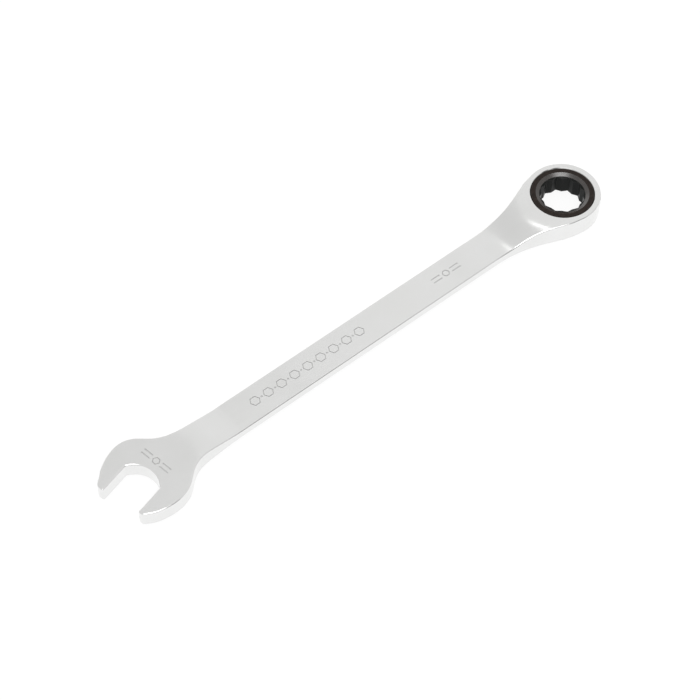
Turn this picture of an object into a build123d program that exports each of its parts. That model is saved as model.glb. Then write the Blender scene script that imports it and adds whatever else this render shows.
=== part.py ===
# Ratcheting combination wrench: open end at -X, 12-point ratchet box end at the origin.
# Millimetres. Origin on the ratchet axis at the underside of the box end, +Z up,
# -X along the shank towards the open end. The wrench is symmetric about its mid-plane.
import os
from math import cos, sin, radians, pi, hypot, sqrt
from build123d import *

os.makedirs("parts", exist_ok=True)

# ---- driving dimensions -------------------------------------------------
HEAD_T = 12.0          # box end thickness
MID = HEAD_T / 2       # height of the mid-plane
SHANK_T = 4.9          # shank thickness
JAW_T = 9.0            # open end thickness
HEAD_R = 20.2          # box end outer radius
SHANK_W = 9.75         # shank half width
PITCH_L = 272.3        # ratchet axis to open end centre, along the shank
JAW_Y = -0.5           # open end centre off the shank's centre line
JAW_AF = 20.80         # open end across flats
JAW_DEG = 15.0         # open end offset angle
EDGE_R = 0.75          # rounding of the forged outline edges

BORE_R = 17.60         # gear chamber
LIP_R = 16.78          # opening through the upper lip
LIP_Z = 10.0           # underside of the lip
RING_Z0, RING_Z1 = 1.00, 2.00   # retaining ring groove
RING_GROOVE_R = 18.20

GEAR_R = 17.52         # tooth tip radius, also the lower rim
GEAR_ROOT = 16.85
GEAR_TOP_R = 16.70     # upper rim that shows inside the lip
GEAR_Z0, GEAR_Z1 = 0.12, 11.88
TEETH_Z0, TEETH_Z1 = 2.90, 9.90
TEETH = 72
SOCKET_AF = 20.95      # 12-point across flats
LEAD_R = 14.1          # outer radius of the lead-in cone
LEAD_SLOPE = 0.55      # cone drop per mm of radius

PAWL_DEG = 15.0        # slide direction of the pawl from -X
PAWL_HW = 3.7          # pawl half width
PAWL_LEN = 5.3         # back of the pawl behind the tooth root circle
PAWL_Z0, PAWL_Z1 = 3.30, 8.70
PAWL_TRAVEL = 0.75
SPRING_R = 0.95        # spring mean radius
WIRE_R = 0.19
MARK_D = 0.15          # depth of the stamped marks
MARK_W = 0.45          # line width of the stamped marks


# pawl axes: local +x runs away from the gear along the slide, origin on the tooth root circle
PAWL_LOC = Location((-17.2, 0, 0), (0, 0, 180 + PAWL_DEG))
PAWL_DIR = (-cos(radians(PAWL_DEG)), -sin(radians(PAWL_DEG)), 0)
SPRING_PLANE = Plane(origin=(-17.2, 0, MID), x_dir=(0, 0, 1), z_dir=PAWL_DIR)
SPRING_BORE_R = 1.35
SPRING_START = 3.05    # bottom of the blind hole in the pawl
SPRING_END = 11.40     # bottom of the bore in the neck


def polar(r, a):
    return (r * cos(radians(a)), r * sin(radians(a)))


def tooth_points(tip, root, half_tip, half_root):
    pts = []
    step = 360 / TEETH
    for i in range(TEETH):
        a = i * step
        pts += [polar(tip, a - half_tip), polar(tip, a + half_tip),
                polar(root, a + step / 2 - half_root), polar(root, a + step / 2 + half_root)]
    return pts


def twelve_points(af, grow=0.0):
    pts = []
    for i in range(12):
        pts.append(polar(af / 2 / cos(radians(30)) + grow, 30 * i))
        pts.append(polar(af / 2 / cos(radians(15)) + grow, 30 * i + 15))
    return pts


# ---- outline of the forged body ----------------------------------------
C, S = cos(radians(JAW_DEG)), sin(radians(JAW_DEG))


def jaw(u, v):
    # u runs out of the open end, v across it, far jaw positive
    return (-PITCH_L - C * u - S * v, JAW_Y - S * u + C * v)


FLAT = JAW_AF / 2
THROAT_R = 12.9
THROAT_U = sqrt(THROAT_R ** 2 - FLAT ** 2)
throat_c = 9.7
tu = throat_c - THROAT_U

flank = [(HEAD_R * cos(radians(100)), HEAD_R * sin(radians(100))), (-10.7, 18.45), (-15.3, 16.8),
         (-20.8, 14.7), (-26.8, 12.7), (-32.5, 11.4), (-39.0, 10.6), (-47.0, 10.0), (-60.0, SHANK_W)]
far_side = [(-228.0, SHANK_W), (-238.0, 9.75), (-246.0, 10.1), (-252.5, 11.6), (-257.7, 14.35), (-263.0, 18.8),
            (-269.9, 21.75), (-277.1, 20.95), (-283.9, 17.65), (-289.2, 13.45)]
near_side = [(-228.0, -SHANK_W), (-238.0, -9.8), (-244.5, -10.3), (-249.5, -11.9), (-254.0, -15.0), (-258.5, -18.9),
             (-264.0, -21.8), (-271.0, -22.9), (-278.0, -22.2), (-283.5, -20.3)]

# thickness of the forging: full at the box end, thin along the shank
HEAD_FLAT_R = 21.0
HEAD_BLEND_R = 54.0
JAW_FLAT_R = 24.6
JAW_BLEND_R = 51.0
with BuildPart() as thickness:
    with BuildSketch(Plane.XZ):
        with BuildLine():
            hi, lo = HEAD_T, 0.0
            st, sb = MID + SHANK_T / 2, MID - SHANK_T / 2
            Line((0, lo), (0, hi))
            Line((0, hi), (HEAD_FLAT_R, hi))
            Spline((HEAD_FLAT_R, hi), (32.0, hi - 1.05), (42.0, st + 0.75), (HEAD_BLEND_R, st), tangents=[(1, 0), (1, 0)])
            Line((HEAD_BLEND_R, st), (170, st))
            Line((170, st), (170, sb))
            Line((170, sb), (HEAD_BLEND_R, sb))
            Spline((HEAD_FLAT_R, lo), (32.0, lo + 1.05), (42.0, sb - 0.75), (HEAD_BLEND_R, sb), tangents=[(1, 0), (1, 0)])
            Line((HEAD_FLAT_R, lo), (0, lo))
        make_face()
    revolve(axis=Axis.Z)
    with BuildSketch(Plane(origin=(-PITCH_L + 1.2, JAW_Y + 0.3, 0), x_dir=(1, 0, 0), z_dir=(0, -1, 0))):
        with BuildLine():
            jt, jb = MID + JAW_T / 2, MID - JAW_T / 2
            Line((0, jb), (0, jt))
            Line((0, jt), (JAW_FLAT_R, jt))
            Spline((JAW_FLAT_R, jt), (JAW_BLEND_R, st), tangents=[(1, 0), (1, 0)])
            Line((JAW_BLEND_R, st), (130, st))
            Line((130, st), (130, sb))
            Line((130, sb), (JAW_BLEND_R, sb))
            Spline((JAW_FLAT_R, jb), (JAW_BLEND_R, sb), tangents=[(1, 0), (1, 0)])
            Line((JAW_FLAT_R, jb), (0, jb))
        make_face()
    revolve(axis=Axis((-PITCH_L + 1.2, JAW_Y + 0.3, 0), (0, 0, 1)))

with BuildPart() as wrench_body:
    with BuildSketch(Plane.XY) as outline:
        with BuildLine():
            ThreePointArc(flank[0], (HEAD_R, 0), (flank[0][0], -flank[0][1]))
            Spline(*flank, tangents=[(-sin(radians(100)), cos(radians(100))), (-1, 0)])
            Spline(*[(x, -y) for x, y in flank], tangents=[(-sin(radians(100)), -cos(radians(100))), (-1, 0)])
            Line(flank[-1], far_side[0])
            Line((flank[-1][0], -flank[-1][1]), near_side[0])
            Spline(*far_side, tangents=[(-1, 0), (-0.67, -0.74)])
            Spline(*near_side, tangents=[(-1, 0), (-0.86, 0.51)])
            # far jaw tip, flat, throat, flat, near jaw tip
            Spline(far_side[-1], jaw(19.05, 12.45), jaw(18.2, FLAT),
                   tangents=[(-0.67, -0.74), (C, S)])
            Line(jaw(18.2, FLAT), jaw(tu, FLAT))
            ThreePointArc(jaw(tu, FLAT), jaw(throat_c - THROAT_R, 0), jaw(tu, -FLAT))
            Line(jaw(tu, -FLAT), jaw(17.6, -FLAT))
            Spline(near_side[-1], jaw(18.8, -12.6), jaw(17.6, -FLAT),
                   tangents=[(-0.86, 0.51), (C, S)])
        make_face()
    extrude(amount=HEAD_T)
    # ease the two corners where the throat meets the flats
    corners = wrench_body.edges().filter_by(Axis.Z).filter_by(
        lambda e: min(hypot(e.center().X - jaw(tu, k * FLAT)[0], e.center().Y - jaw(tu, k * FLAT)[1])
                      for k in (-1, 1)) < 0.05)
    fillet(corners, 1.2)
    add(thickness.part, mode=Mode.INTERSECT)
    # round every outline edge of the forging
    walls = [f for f in wrench_body.faces() if abs(f.normal_at().Z) < 0.02]
    count = {}
    for f in walls:
        for e in f.edges():
            key = tuple(round(v, 3) for v in (*tuple(e.center()), e.length))
            count.setdefault(key, []).append(e)
    rim = [v[0] for v in count.values() if len(v) == 1]
    fillet(rim, EDGE_R)
    # plain ornament on both faces of the shank: a row of hexagon outlines and dots
    for face_z in (MID + SHANK_T / 2 - MARK_D, MID - SHANK_T / 2 - 1 + MARK_D):
        with BuildSketch(Plane.XY.offset(face_z)):
            with Locations((-171.7, 0.3)):
                with GridLocations(8.3, 0, 9, 1):
                    RegularPolygon(2.95, 6)
                    RegularPolygon(2.95 - MARK_W * 1.15, 6, mode=Mode.SUBTRACT)
                with GridLocations(8.3, 0, 8, 1):
                    Circle(0.55)
        extrude(amount=1, mode=Mode.SUBTRACT)
    # plain size marks: one hexagon between two pairs of bars
    for where, turn, face_z in (((-80.5, 0.6), 0, MID + SHANK_T / 2 - MARK_D),
                                ((-263.9, 1.9), -82, MID + JAW_T / 2 - MARK_D)):
        with BuildSketch(Plane.XY.offset(face_z)):
            with Locations(Location(where, turn)):
                RegularPolygon(2.2, 6)
                RegularPolygon(2.2 - MARK_W * 1.15, 6, mode=Mode.SUBTRACT)
                with GridLocations(12.4, 2.4, 2, 2):
                    RectangleRounded(5.6, 0.7, 0.3)
        extrude(amount=1, mode=Mode.SUBTRACT)
    # gear chamber open at the underside, lip at the top
    with BuildSketch(Plane.XY):
        Circle(BORE_R)
    extrude(amount=LIP_Z, mode=Mode.SUBTRACT)
    with BuildSketch(Plane.XY.offset(LIP_Z - 0.5)):
        Circle(LIP_R)
    extrude(amount=HEAD_T, mode=Mode.SUBTRACT)
    # chamfers at the mouth of the lip and of the chamber
    with BuildSketch(Plane.XZ):
        with BuildLine():
            Polyline((LIP_R - 0.5, HEAD_T + 0.1), (LIP_R + 0.55, HEAD_T + 0.1), (LIP_R - 0.2, HEAD_T - 0.65),
                     (LIP_R - 0.5, HEAD_T - 0.65), close=True)
            Polyline((BORE_R - 0.5, -0.1), (BORE_R + 0.5, -0.1), (BORE_R - 0.1, 0.5),
                     (BORE_R - 0.5, 0.5), close=True)
        make_face()
    revolve(axis=Axis.Z, mode=Mode.SUBTRACT)
    # groove for the retaining ring
    with BuildSketch(Plane.XY.offset(RING_Z0)):
        Circle(RING_GROOVE_R)
    extrude(amount=RING_Z1 - RING_Z0, mode=Mode.SUBTRACT)
    # pawl pocket, broached from the chamber into the neck
    with BuildSketch(Plane.XY.offset(PAWL_Z0 - 0.06)):
        with Locations(PAWL_LOC):
            with Locations((0.5 * (PAWL_LEN + PAWL_TRAVEL + 0.15 - 3.0), 0)):
                RectangleRounded(PAWL_LEN + PAWL_TRAVEL + 0.15 + 3.0, 2 * (PAWL_HW + 0.06), 0.4)
    extrude(amount=PAWL_Z1 - PAWL_Z0 + 0.12, mode=Mode.SUBTRACT)
    # spring bore behind the pocket
    with BuildSketch(SPRING_PLANE.offset(PAWL_LEN)):
        Circle(SPRING_BORE_R)
    extrude(amount=SPRING_END - PAWL_LEN, mode=Mode.SUBTRACT)

# ---- drive gear ---------------------------------------------------------
with BuildPart() as drive_gear:
    with BuildSketch(Plane.XY.offset(GEAR_Z0)):
        Circle(GEAR_R)
    extrude(amount=TEETH_Z0 - GEAR_Z0)
    with BuildSketch(Plane.XY.offset(TEETH_Z0)):
        Polygon(*tooth_points(GEAR_R, GEAR_ROOT, 0.60, 0.50), align=None)
    extrude(amount=TEETH_Z1 - TEETH_Z0)
    with BuildSketch(Plane.XY.offset(TEETH_Z1)):
        Circle(GEAR_TOP_R)
    extrude(amount=GEAR_Z1 - TEETH_Z1)
    # groove for the retaining ring
    with BuildSketch(Plane.XY.offset(RING_Z0 - 0.06)):
        Circle(GEAR_R + 1)
        Circle(16.9, mode=Mode.SUBTRACT)
    extrude(amount=RING_Z1 - RING_Z0 + 0.12, mode=Mode.SUBTRACT)
    # 12-point socket
    with BuildSketch(Plane.XY.offset(-1)) as socket:
        Polygon(*twelve_points(SOCKET_AF), align=None)
        fillet(socket.vertices().filter_by(lambda v: hypot(v.X, v.Y) > 11.5), 0.35)
        fillet(socket.vertices().filter_by(lambda v: hypot(v.X, v.Y) < 11.0), 0.30)
    extrude(amount=HEAD_T + 2, mode=Mode.SUBTRACT)
    # lead-in cones at both faces and small rim chamfers
    with BuildSketch(Plane.XZ):
        with BuildLine():
            d = (LEAD_R - 8.0) * LEAD_SLOPE
            Polyline((8.0, GEAR_Z1 - d), (LEAD_R, GEAR_Z1), (LEAD_R, GEAR_Z1 + 1), (8.0, GEAR_Z1 + 1), close=True)
            Polyline((8.0, GEAR_Z0 + d), (LEAD_R, GEAR_Z0), (LEAD_R, GEAR_Z0 - 1), (8.0, GEAR_Z0 - 1), close=True)
        make_face()
    revolve(axis=Axis.Z, mode=Mode.SUBTRACT)
    with BuildSketch(Plane.XZ):
        with BuildLine():
            Polyline((GEAR_TOP_R - 0.25, GEAR_Z1 + 0.01), (GEAR_TOP_R + 0.3, GEAR_Z1 + 0.01),
                     (GEAR_TOP_R + 0.3, GEAR_Z1 - 0.54), close=True)
            Polyline((GEAR_R - 0.25, GEAR_Z0 - 0.01), (GEAR_R + 0.3, GEAR_Z0 - 0.01),
                     (GEAR_R + 0.3, GEAR_Z0 + 0.54), close=True)
        make_face()
    revolve(axis=Axis.Z, mode=Mode.SUBTRACT)

# ---- pawl ---------------------------------------------------------------
with BuildPart() as pawl:
    with BuildSketch(Plane.XY.offset(PAWL_Z0)):
        with Locations(PAWL_LOC):
            with Locations((0.5 * (PAWL_LEN - 1.2), 0)):
                Rectangle(PAWL_LEN + 1.2, 2 * PAWL_HW)
    extrude(amount=PAWL_Z1 - PAWL_Z0)
    back = pawl.edges().filter_by(Axis.Z).sort_by(lambda e: e.center().dot(Vector(*PAWL_DIR)))[-2:]
    fillet(back, 0.6)
    with BuildSketch(Plane.XY.offset(PAWL_Z0 - 1)):
        Polygon(*tooth_points(GEAR_R + 0.07, GEAR_ROOT + 0.07, 0.77, 0.33), align=None)
    extrude(amount=PAWL_Z1 - PAWL_Z0 + 2, mode=Mode.SUBTRACT)
    with BuildSketch(SPRING_PLANE.offset(SPRING_START)):
        Circle(1.30)
    extrude(amount=PAWL_LEN - SPRING_START + 1, mode=Mode.SUBTRACT)

# ---- pawl spring --------------------------------------------------------
TURNS = 7
with BuildPart() as pawl_spring:
    s0, s1 = SPRING_START + WIRE_R + 0.01, SPRING_END - WIRE_R - 0.01
    with BuildLine() as coil:
        Helix(pitch=(s1 - s0) / TURNS, height=s1 - s0, radius=SPRING_R,
              center=tuple(SPRING_PLANE.offset(s0).origin), direction=PAWL_DIR)
    with BuildSketch(Plane(origin=coil.line @ 0, z_dir=coil.line % 0)):
        Circle(WIRE_R)
    sweep(is_frenet=True)

# ---- retaining ring -----------------------------------------------------
with BuildPart() as retaining_ring:
    with BuildSketch(Plane.XY.offset(RING_Z0 + 0.05)) as ring_sketch:
        Circle(RING_GROOVE_R - 0.005)
        Circle(17.05, mode=Mode.SUBTRACT)
        with BuildLine():
            Polyline((0, 0), polar(22, 74), polar(22, 84), close=True)
        make_face(mode=Mode.SUBTRACT)
    extrude(amount=RING_Z1 - RING_Z0 - 0.10)

for name, piece in (("wrench_body", wrench_body), ("drive_gear", drive_gear), ("pawl", pawl),
                    ("pawl_spring", pawl_spring), ("retaining_ring", retaining_ring)):
    piece.part.label = name
    export_step(piece.part, "parts/" + name + ".step")
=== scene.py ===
import math
import bpy
from mathutils import Matrix, Vector


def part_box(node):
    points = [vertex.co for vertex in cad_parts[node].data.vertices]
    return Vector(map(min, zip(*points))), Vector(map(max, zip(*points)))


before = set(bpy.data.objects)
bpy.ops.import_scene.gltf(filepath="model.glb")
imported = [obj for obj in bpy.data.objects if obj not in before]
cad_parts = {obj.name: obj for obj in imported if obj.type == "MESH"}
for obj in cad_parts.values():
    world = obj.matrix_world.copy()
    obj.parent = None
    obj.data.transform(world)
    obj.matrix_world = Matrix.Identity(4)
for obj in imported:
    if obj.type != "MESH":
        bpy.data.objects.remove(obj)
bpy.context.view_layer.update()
scene = bpy.context.scene
scene.view_settings.view_transform = "Standard"
scene.view_settings.look = "None"
scene.view_settings.exposure = 0.0
scene.view_settings.gamma = 1.0


# ---- node helpers -------------------------------------------------------
class Mat:
    def __init__(self, name):
        self.m = bpy.data.materials.new(name)
        self.m.use_nodes = True
        self.t = self.m.node_tree
        self.t.nodes.clear()
        self.out = self.t.nodes.new("ShaderNodeOutputMaterial")
        self.b = self.t.nodes.new("ShaderNodeBsdfPrincipled")
        self.link(self.b, "BSDF", self.out, "Surface")
        self.tc = self.t.nodes.new("ShaderNodeTexCoord")

    def node(self, kind, **props):
        n = self.t.nodes.new(kind)
        for k, v in props.items():
            if k in n.bl_rna.properties:
                setattr(n, k, v)
            else:
                n.inputs[k].default_value = v
        return n

    def link(self, a, ao, b, bi):
        self.t.links.new(a.outputs[ao], b.inputs[bi])

    def math(self, op, a, b=None, clamp=False):
        n = self.node("ShaderNodeMath", operation=op, use_clamp=clamp)
        for i, v in enumerate((a, b)):
            if v is None:
                continue
            if isinstance(v, tuple):
                self.t.links.new(v[0].outputs[v[1]], n.inputs[i])
            else:
                n.inputs[i].default_value = v
        return (n, 0)

    def noise(self, scale, detail=4.0, rough=0.5, stretch=(1, 1, 1), coord="Object"):
        mp = self.node("ShaderNodeMapping")
        mp.inputs["Scale"].default_value = stretch
        self.link(self.tc, coord, mp, "Vector")
        n = self.node("ShaderNodeTexNoise", Scale=scale, Detail=detail, Roughness=rough)
        self.link(mp, "Vector", n, "Vector")
        return n

    def ramp(self, src, stops):
        r = self.node("ShaderNodeValToRGB")
        self.t.links.new(src[0].outputs[src[1]], r.inputs["Fac"])
        els = r.color_ramp.elements
        while len(els) > 1:
            els.remove(els[-1])
        els[0].position, els[0].color = stops[0][0], stops[0][1]
        for p, c in stops[1:]:
            e = els.new(p)
            e.color = c
        return r

    def range(self, src, a, b, c, d):
        n = self.node("ShaderNodeMapRange")
        n.inputs["From Min"].default_value = a
        n.inputs["From Max"].default_value = b
        n.inputs["To Min"].default_value = c
        n.inputs["To Max"].default_value = d
        self.t.links.new(src[0].outputs[src[1]], n.inputs["Value"])
        return n


def grey(v, a=1.0):
    return (v, v, v, a)


def edge_mask(m, radius):
    """0 on faces, rising towards rounded and sharp edges."""
    bev = m.node("ShaderNodeBevel", samples=4, Radius=radius)
    geo = m.node("ShaderNodeNewGeometry")
    dot = m.node("ShaderNodeVectorMath", operation="DOT_PRODUCT")
    m.t.links.new(bev.outputs["Normal"], dot.inputs[0])
    m.t.links.new(geo.outputs["Normal"], dot.inputs[1])
    inv = m.math("SUBTRACT", 1.0, (dot, "Value"))
    return m.math("MULTIPLY", inv, 6.0, clamp=True)


def chrome():
    m = Mat("chrome_plate")
    big = m.noise(22.0, 3.0, 0.55)
    fine = m.noise(900.0, 5.0, 0.6, stretch=(0.12, 1.0, 1.0))
    pits = m.noise(2600.0, 2.0, 0.5)
    tone = m.ramp((big, "Fac"), [(0.30, (0.800, 0.802, 0.795, 1)), (0.52, (0.835, 0.835, 0.832, 1)), (0.75, (0.815, 0.818, 0.806, 1))])
    # painted highlight: base colour lightened towards the rounded and sharp edges
    edges = edge_mask(m, 0.0006)
    mix = m.node("ShaderNodeMix", data_type="RGBA")
    m.t.links.new(edges[0].outputs[edges[1]], mix.inputs["Factor"])
    m.t.links.new(tone.outputs["Color"], mix.inputs[6])
    mix.inputs[7].default_value = (0.90, 0.90, 0.895, 1)
    # painted shade: ambient occlusion darkens the base colour in the stamped marks and along the seam
    ao = m.node("ShaderNodeAmbientOcclusion", samples=6, Distance=0.00055)
    painted_cavity_shade = m.range((ao, "AO"), 0.50, 0.95, 0.85, 0.0)
    dmix = m.node("ShaderNodeMix", data_type="RGBA")
    m.t.links.new(painted_cavity_shade.outputs["Result"], dmix.inputs["Factor"])
    m.t.links.new(mix.outputs[2], dmix.inputs[6])
    dmix.inputs[7].default_value = (0.11, 0.105, 0.10, 1)
    m.t.links.new(dmix.outputs[2], m.b.inputs["Base Color"])
    rough = m.range((fine, "Fac"), 0.3, 0.7, 0.10, 0.17)
    m.t.links.new(rough.outputs["Result"], m.b.inputs["Roughness"])
    bump = m.node("ShaderNodeBump", Strength=0.05, Distance=0.00004)
    add = m.math("ADD", (fine, "Fac"), (pits, "Fac"))
    m.t.links.new(add[0].outputs[add[1]], bump.inputs["Height"])
    wavy = m.noise(75.0, 2.0, 0.5, stretch=(0.6, 1.0, 1.0))
    bump2 = m.node("ShaderNodeBump", Strength=0.6, Distance=0.00006)
    m.t.links.new(wavy.outputs["Fac"], bump2.inputs["Height"])
    m.t.links.new(bump.outputs["Normal"], bump2.inputs["Normal"])
    m.t.links.new(bump2.outputs["Normal"], m.b.inputs["Normal"])
    m.b.inputs["Metallic"].default_value = 1.0
    return m.m


def radial(m):
    """Distance from the ratchet axis in object space."""
    sep = m.node("ShaderNodeSeparateXYZ")
    m.link(m.tc, "Object", sep, "Vector")
    x2 = m.math("MULTIPLY", (sep, "X"), (sep, "X"))
    y2 = m.math("MULTIPLY", (sep, "Y"), (sep, "Y"))
    s = m.math("ADD", x2, y2)
    return m.math("SQRT", s), sep


def black_gear():
    m = Mat("black_steel")
    r, sep = radial(m)
    # turned rings on the end faces
    grain = m.noise(160.0, 3.0, 0.6)
    wob = m.math("MULTIPLY", (grain, "Fac"), 0.00025)
    rr = m.math("ADD", r, wob)
    ang = m.math("MULTIPLY", rr, 2 * math.pi / 0.00042)
    wave = m.math("SINE", ang)
    face = m.math("GREATER_THAN", r, 0.0120)
    rings = m.math("MULTIPLY", wave, face)
    cloud = m.noise(420.0, 4.0, 0.65)
    col = m.ramp((cloud, "Fac"), [(0.28, (0.012, 0.008, 0.006, 1)), (0.5, (0.018, 0.0125, 0.0100, 1)), (0.72, (0.028, 0.020, 0.016, 1))])
    wear = edge_mask(m, 0.00035)
    wearn = m.noise(1500.0, 3.0, 0.6)
    wf = m.math("MULTIPLY", wear, (wearn, "Fac"))
    wf = m.math("MULTIPLY", wf, 0.55, clamp=True)
    # painted shade: the bore walls get a darker base colour than the faces; they are also smoother
    wall = m.math("LESS_THAN", r, 0.01212)
    wallc = m.node("ShaderNodeMix", data_type="RGBA")
    m.t.links.new(wall[0].outputs[wall[1]], wallc.inputs["Factor"])
    m.t.links.new(col.outputs["Color"], wallc.inputs[6])
    wallc.inputs[7].default_value = (0.008, 0.009, 0.0085, 1)
    mix = m.node("ShaderNodeMix", data_type="RGBA")
    m.t.links.new(wf[0].outputs[wf[1]], mix.inputs["Factor"])
    m.t.links.new(wallc.outputs[2], mix.inputs[6])
    mix.inputs[7].default_value = (0.16, 0.15, 0.14, 1)
    m.t.links.new(mix.outputs[2], m.b.inputs["Base Color"])
    ro = m.range((cloud, "Fac"), 0.25, 0.75, 0.40, 0.56)
    cone = m.math("MULTIPLY", m.math("GREATER_THAN", r, 0.01212), m.math("LESS_THAN", r, 0.01405))
    rsub = m.math("ADD", m.math("MULTIPLY", wall, 0.14), m.math("MULTIPLY", cone, 0.24))
    rough = m.math("SUBTRACT", (ro, "Result"), rsub)
    m.t.links.new(rough[0].outputs[rough[1]], m.b.inputs["Roughness"])
    h1 = m.math("MULTIPLY", rings, 0.5)
    h = m.math("ADD", h1, (cloud, "Fac"))
    bump = m.node("ShaderNodeBump", Strength=0.35, Distance=0.00003)
    m.t.links.new(h[0].outputs[h[1]], bump.inputs["Height"])
    m.t.links.new(bump.outputs["Normal"], m.b.inputs["Normal"])
    spec = m.math("SUBTRACT", m.math("ADD", 0.15, m.math("MULTIPLY", cone, 0.85)), m.math("MULTIPLY", wall, 0.06))
    m.t.links.new(spec[0].outputs[spec[1]], m.b.inputs["Specular IOR Level"])
    m.b.inputs["Metallic"].default_value = 0.0
    return m.m


def steel(name, base, rough, stretch):
    m = Mat(name)
    n = m.noise(700.0, 4.0, 0.6, stretch=stretch)
    col = m.ramp((n, "Fac"), [(0.3, (base * 0.8, base * 0.8, base * 0.82, 1)), (0.7, (base * 1.15, base * 1.15, base * 1.17, 1))])
    e = edge_mask(m, 0.0002)
    mix = m.node("ShaderNodeMix", data_type="RGBA")
    m.t.links.new(e[0].outputs[e[1]], mix.inputs["Factor"])
    m.t.links.new(col.outputs["Color"], mix.inputs[6])
    mix.inputs[7].default_value = (base * 1.5, base * 1.5, base * 1.5, 1)
    m.t.links.new(mix.outputs[2], m.b.inputs["Base Color"])
    r = m.range((n, "Fac"), 0.3, 0.7, rough - 0.06, rough + 0.08)
    m.t.links.new(r.outputs["Result"], m.b.inputs["Roughness"])
    bump = m.node("ShaderNodeBump", Strength=0.15, Distance=0.00002)
    m.t.links.new(n.outputs["Fac"], bump.inputs["Height"])
    m.t.links.new(bump.outputs["Normal"], m.b.inputs["Normal"])
    m.b.inputs["Metallic"].default_value = 1.0
    return m.m


looks = {
    "wrench_body": chrome(),
    "drive_gear": black_gear(),
    "pawl": steel("bare_steel", 0.42, 0.38, (1, 1, 4)),
    "pawl_spring": steel("spring_steel", 0.50, 0.30, (1, 1, 1)),
    "retaining_ring": steel("ring_steel", 0.46, 0.32, (1, 1, 6)),
}
for name, mat in looks.items():
    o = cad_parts[name]
    if not o.data.materials:
        o.data.materials.append(mat)
    for i in range(len(o.data.materials)):
        o.data.materials[i] = mat

# ---- floor --------------------------------------------------------------
floor_mesh = bpy.data.meshes.new("floor")
n, half = 24, 6.0
verts, faces = [], []
for j in range(n + 1):
    for i in range(n + 1):
        verts.append((-0.13 + half * (2 * i / n - 1), half * (2 * j / n - 1), -0.0002))
for j in range(n):
    for i in range(n):
        a = j * (n + 1) + i
        faces.append((a, a + 1, a + n + 2, a + n + 1))
floor_mesh.from_pydata(verts, [], faces)
floor = bpy.data.objects.new("floor", floor_mesh)
scene.collection.objects.link(floor)
fm = Mat("floor_white")
fn = fm.noise(3.0, 2.0, 0.5)
fc = fm.ramp((fn, "Fac"), [(0.3, grey(0.145)), (0.7, grey(0.155))])
fm.link(fc, "Color", fm.b, "Base Color")
fm.b.inputs["Roughness"].default_value = 0.9
fm.b.inputs["Specular IOR Level"].default_value = 0.1
fm.b.inputs["Emission Color"].default_value = (1.0, 1.0, 1.0, 1)
fm.b.inputs["Emission Strength"].default_value = 0.87
floor_mesh.materials.append(fm.m)

# ---- soft studio surround: brightness by direction ----------------------
world = bpy.data.worlds.new("studio")
scene.world = world
world.use_nodes = True
wt = world.node_tree
wt.nodes.clear()
wo = wt.nodes.new("ShaderNodeOutputWorld")
bg = wt.nodes.new("ShaderNodeBackground")
tc = wt.nodes.new("ShaderNodeTexCoord")
wt.links.new(bg.outputs[0], wo.inputs[0])


def wmath(op, a, b=None, c=None, clamp=False):
    nd = wt.nodes.new("ShaderNodeMath")
    nd.operation = op
    nd.use_clamp = clamp
    for i, v in enumerate((a, b, c)):
        if v is None:
            continue
        if isinstance(v, (int, float)):
            nd.inputs[i].default_value = v
        else:
            wt.links.new(v, nd.inputs[i])
    return nd.outputs[0]


def towards(vec):
    """Cosine between the ray direction and a fixed direction."""
    v = Vector(vec).normalized()
    nd = wt.nodes.new("ShaderNodeVectorMath")
    nd.operation = "DOT_PRODUCT"
    wt.links.new(tc.outputs["Generated"], nd.inputs[0])
    nd.inputs[1].default_value = v
    return nd.outputs["Value"]


def patch(vec, inner_deg, outer_deg):
    """1 inside inner_deg of a direction, falling to 0 at outer_deg."""
    nd = wt.nodes.new("ShaderNodeMapRange")
    nd.interpolation_type = "SMOOTHSTEP"
    wt.links.new(towards(vec), nd.inputs["Value"])
    nd.inputs["From Min"].default_value = math.cos(math.radians(outer_deg))
    nd.inputs["From Max"].default_value = math.cos(math.radians(inner_deg))
    return nd.outputs["Result"]


def strip(el, inner, outer, vec, side_in, side_out):
    """A level band of light at one elevation, faded out away from a direction."""
    sep = wt.nodes.new("ShaderNodeSeparateXYZ")
    wt.links.new(tc.outputs["Generated"], sep.inputs[0])
    ang = wmath("MULTIPLY", wmath("ARCSINE", sep.outputs["Z"]), 180 / math.pi)
    off = wmath("ABSOLUTE", wmath("SUBTRACT", ang, el))
    nd = wt.nodes.new("ShaderNodeMapRange")
    nd.interpolation_type = "SMOOTHSTEP"
    wt.links.new(off, nd.inputs["Value"])
    nd.inputs["From Min"].default_value = outer
    nd.inputs["From Max"].default_value = inner
    return wmath("MULTIPLY", nd.outputs["Result"], patch(vec, side_in, side_out))


def dirn(az, el):
    a, e = math.radians(az), math.radians(el)
    return (math.sin(a) * math.cos(e), -math.cos(a) * math.cos(e), math.sin(e))


BASE = 0.79
level = wmath("ADD", BASE, 0.0)
# flat top faces mirror the wall at az 130..150, el 49..56: a soft gradient there
level = wmath("ADD", level, wmath("MULTIPLY", patch(dirn(116, 42), 6, 34), 0.09))
level = wmath("MULTIPLY", level, wmath("SUBTRACT", 1.0, wmath("MULTIPLY", patch(dirn(160, 56), 5, 13), 0.055)))
# short level strip light seen only by the slope between the head and the shank
level = wmath("ADD", level, wmath("MULTIPLY", strip(60.2, 0.8, 1.8, dirn(136.5, 60.2), 2.4, 4.5), 1.2))
# bright panel behind: rim line on the far edges
level = wmath("ADD", level, wmath("MULTIPLY", patch(dirn(160, 12), 16, 30), 0.5))
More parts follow.
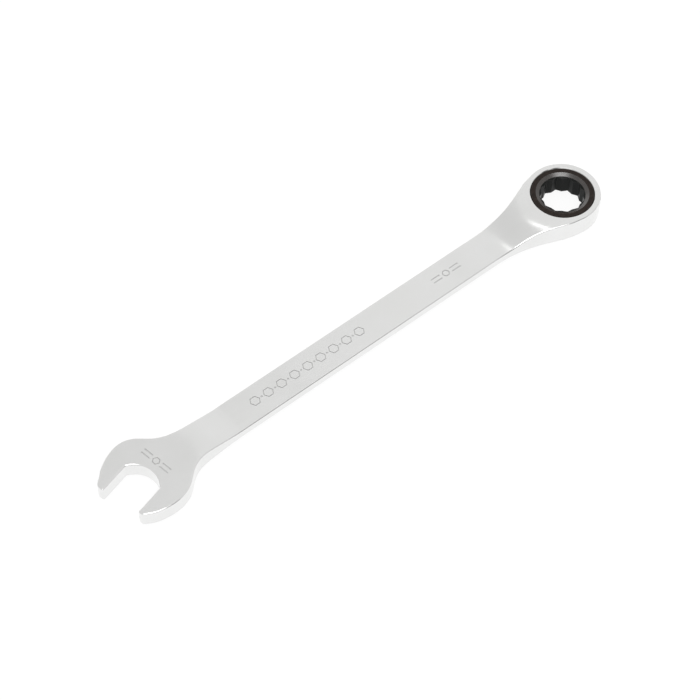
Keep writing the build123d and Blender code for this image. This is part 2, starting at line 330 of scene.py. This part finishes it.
# overhead panel tipped to the camera side: far side of the lead-in cone
level = wmath("ADD", level, wmath("MULTIPLY", patch(dirn(-21, 72), 10, 20), 3.9))
# dark gaps low on the camera side give the thin dark edge lines
level = wmath("MULTIPLY", level, wmath("SUBTRACT", 1.0, wmath("MULTIPLY", patch(dirn(-16, 32), 7, 14), 0.72)))
level = wmath("MULTIPLY", level, wmath("SUBTRACT", 1.0, wmath("MULTIPLY", patch(dirn(16, 24), 8, 15), 0.78)))
level = wmath("MULTIPLY", level, wmath("SUBTRACT", 1.0, wmath("MULTIPLY", patch(dirn(24, 42), 5, 11), 0.60)))
wt.links.new(level, bg.inputs["Strength"])
bg.inputs["Color"].default_value = (1.0, 1.0, 0.995, 1)


def area(name, loc, target, size, power, color=(1, 1, 1)):
    l = bpy.data.lights.new(name, "AREA")
    l.shape = "RECTANGLE"
    l.size, l.size_y = size
    l.energy = power
    l.color = color
    o = bpy.data.objects.new(name, l)
    o.location = loc
    o.rotation_mode = "QUATERNION"
    o.rotation_quaternion = (Vector(target) - Vector(loc)).to_track_quat("-Z", "Y")
    scene.collection.objects.link(o)
    return o


area("key_soft", (-1.1, -0.9, 1.6), (-0.13, 0, 0), (1.2, 1.2), 1.2)

# ---- camera at the photograph's angle -----------------------------------
ROTVEC = (2.3863, -0.8607, 0.2864)
TRANS = (0.1112625, -0.0824616, 1.1515628)
F_PX = 2200.0
v = Vector(ROTVEC)
rot = Matrix.Rotation(v.length, 3, v.normalized())
head_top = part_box("wrench_body")[1].z
centre = rot.transposed() @ (-Vector(TRANS)) + Vector((0, 0, head_top))
flip = Matrix(((1, 0, 0), (0, -1, 0), (0, 0, -1)))
cam_rot = rot.transposed() @ flip
cam = bpy.data.cameras.new("camera")
cam.sensor_width = 36.0
cam.lens = F_PX / 700.0 * 36.0
cam.clip_start, cam.clip_end = 0.05, 30.0
cam_o = bpy.data.objects.new("camera", cam)
cam_o.matrix_world = Matrix.Translation(centre) @ cam_rot.to_4x4()
scene.collection.objects.link(cam_o)
scene.camera = cam_o
